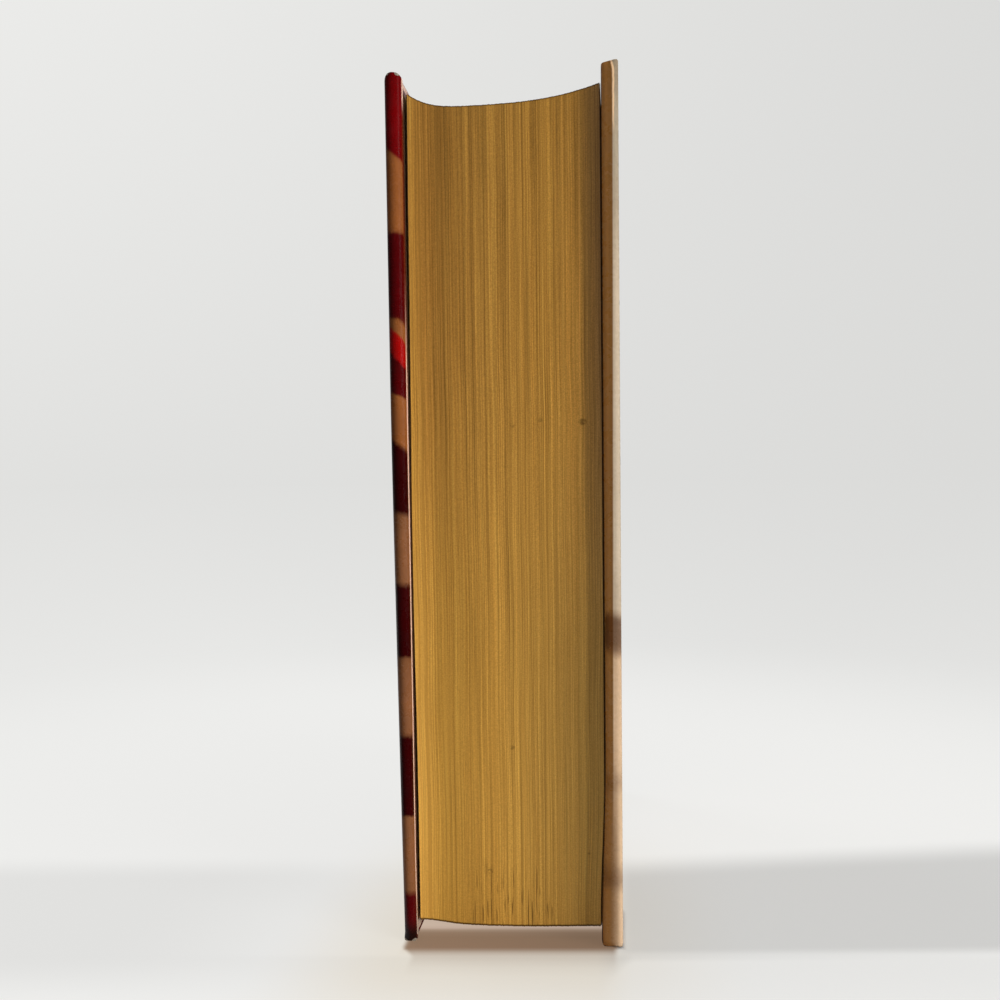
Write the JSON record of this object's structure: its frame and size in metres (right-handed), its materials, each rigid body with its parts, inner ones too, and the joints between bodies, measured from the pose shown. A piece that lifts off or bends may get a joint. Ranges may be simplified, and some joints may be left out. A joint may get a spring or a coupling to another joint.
{
  "type": "hardback book",
  "caption": "Thick case-bound book standing on its tail: rounded and backed page block between two hinged board covers in printed, laminated case paper, with a grooved joint at each side of the spine.",
  "frame": {"origin": "middle of the closed book's footprint, on the plane it stands on", "axes": "+Z from tail to head, -Y out of the fore edge, +Y out of the spine, -X out of the front cover, +X out of the back cover"},
  "size_m": [0.0538, 0.1389, 0.206],
  "materials": {
    "leaves": "uncoated book paper, yellowed at the cut edges",
    "endpaper": "uncoated cartridge paper, toned",
    "band": "striped woven cotton",
    "mull": "starched open-weave cotton",
    "kraft_paper": "matt brown kraft",
    "board": "grey millboard",
    "front_case_paper": "printed paper, gloss laminated, rubbed at the edges",
    "back_case_paper": "printed paper, gloss laminated, rubbed at the edges"
  },
  "bodies": {
    "text_block": {"page_block": "leaves", "front_flyleaf": "endpaper", "back_flyleaf": "endpaper", "head_band": "band", "tail_band": "band", "spine_mull": "mull", "spine_liner": "kraft_paper", "spine_inlay": "board", "spine_case_paper": "front_case_paper", "front_joint": "front_case_paper", "back_joint": "back_case_paper"},
    "front_cover": {"front_board": "board", "front_mull": "mull", "front_case_paper": "front_case_paper", "front_pastedown": "endpaper"},
    "back_cover": {"back_board": "board", "back_mull": "mull", "back_case_paper": "back_case_paper", "back_pastedown": "endpaper"}
  },
  "joints": [
    {"name": "front_cover_hinge", "type": "hinge", "parent": "text_block", "child": "front_cover", "pos_m": [-0.02695, 0.0579, 0.103], "axis": [0, 0, -1], "range_deg": [0, 178], "deforming": ["front_joint"]},
    {"name": "back_cover_hinge", "type": "hinge", "parent": "text_block", "child": "back_cover", "pos_m": [0.02695, 0.0579, 0.103], "axis": [0, 0, 1], "range_deg": [0, 178], "deforming": ["back_joint"]}
  ]
}
